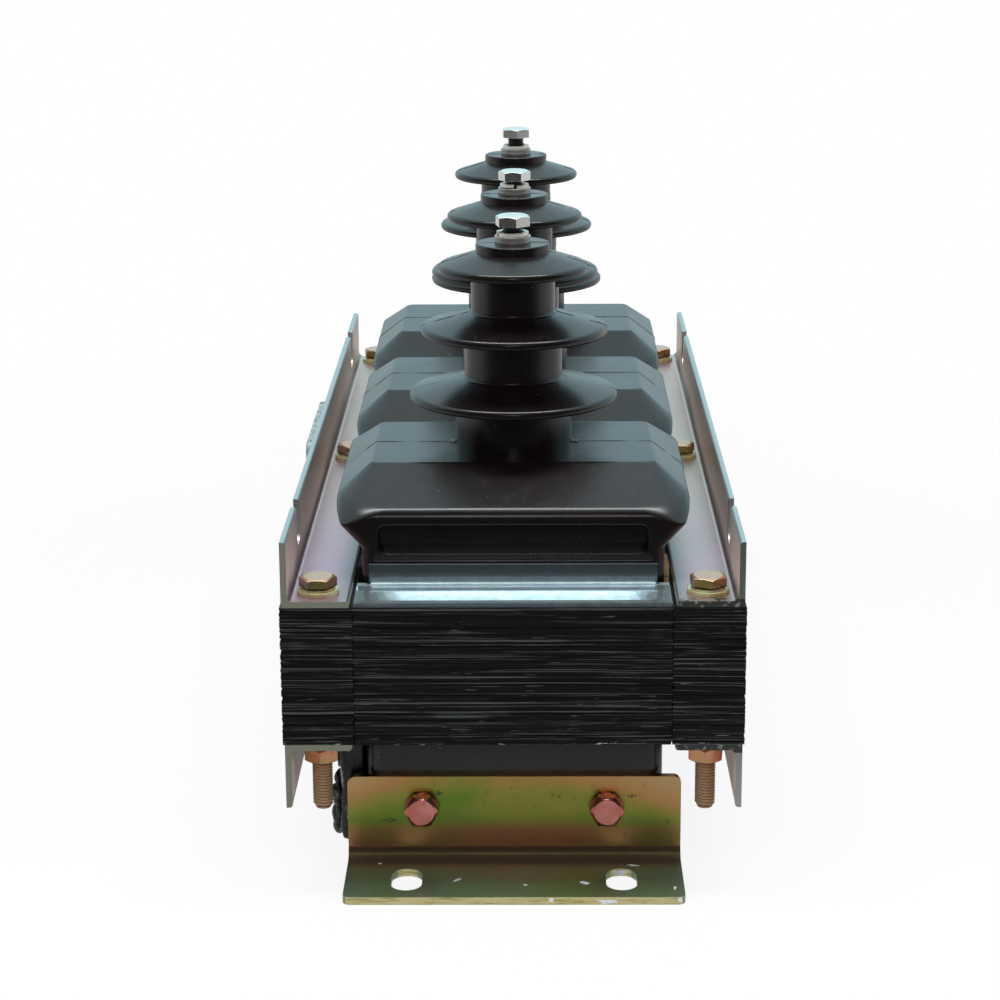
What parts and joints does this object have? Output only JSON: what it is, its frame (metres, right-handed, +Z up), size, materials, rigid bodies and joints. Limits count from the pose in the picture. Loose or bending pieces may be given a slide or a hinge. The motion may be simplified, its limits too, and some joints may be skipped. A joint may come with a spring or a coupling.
{
  "type": "three-phase cast-resin voltage transformer",
  "caption": "Indoor dry-type voltage transformer: resin castings with shedded bushings in a row on a flat laminated core, held by bolted clamp angles and slotted feet.",
  "frame": {"origin": "middle of the transformer, level with the undersides of its two feet", "axes": "+X to the right and +Y to the back along the row of phases, seen from the pictured end; +Z up"},
  "size_m": [0.2228, 0.576, 0.3123],
  "materials": {
    "resin": "satin dark brown cast epoxy resin with a faint mould line",
    "terminal_block": "matt dark moulded resin",
    "core_sheet": "stacked silicon steel sheet under black varnish, edges uneven",
    "bright_steel": "plain bright steel",
    "zinc_angle": "zinc plate with a faint lilac and green passivation film",
    "galvanised_sheet": "grey galvanised sheet",
    "yellow_zinc": "yellow passivated zinc on steel, gold to pink",
    "yellow_zinc_foot": "yellow passivated zinc on steel, olive to orange, with pale chips",
    "pressboard": "tan insulating pressboard"
  },
  "bodies": {
    "root": {"bare_plate": "galvanised_sheet", "casting_front": "resin", "casting_middle": "resin", "casting_rear": "resin", "clamp_bolts_left": "yellow_zinc", "clamp_bolts_right": "yellow_zinc", "clamp_flat_washers": "yellow_zinc", "clamp_lower_washers": "yellow_zinc", "clamp_nuts": "yellow_zinc", "clamp_spring_washers": "yellow_zinc", "core_end_limb_front": "core_sheet", "core_end_limb_rear": "core_sheet", "core_wound_limb_front": "core_sheet", "core_wound_limb_middle": "core_sheet", "core_wound_limb_rear": "core_sheet", "core_yoke_left": "core_sheet", "core_yoke_right": "core_sheet", "foot_bolts_front": "yellow_zinc", "foot_bolts_rear": "yellow_zinc", "foot_front": "yellow_zinc_foot", "foot_rear": "yellow_zinc_foot", "foot_washers_front": "yellow_zinc", "foot_washers_rear": "yellow_zinc", "limb_bracket_front": "galvanised_sheet", "limb_bracket_rear": "galvanised_sheet", "lower_clamp_angle_left": "zinc_angle", "lower_clamp_angle_right": "zinc_angle", "packing_strips_left": "pressboard", "packing_strips_right": "pressboard", "secondary_block_front": "terminal_block", "secondary_block_middle": "terminal_block", "secondary_block_rear": "terminal_block", "secondary_screws_front": "bright_steel", "secondary_screws_middle": "bright_steel", "secondary_screws_rear": "bright_steel", "terminal_bolt_front": "bright_steel", "terminal_bolt_middle": "bright_steel", "terminal_bolt_rear": "bright_steel", "terminal_lower_washers": "bright_steel", "terminal_spring_washers": "bright_steel", "terminal_upper_washers": "bright_steel", "upper_clamp_angle_left": "zinc_angle", "upper_clamp_angle_right": "zinc_angle"}
  },
  "joints": []
}
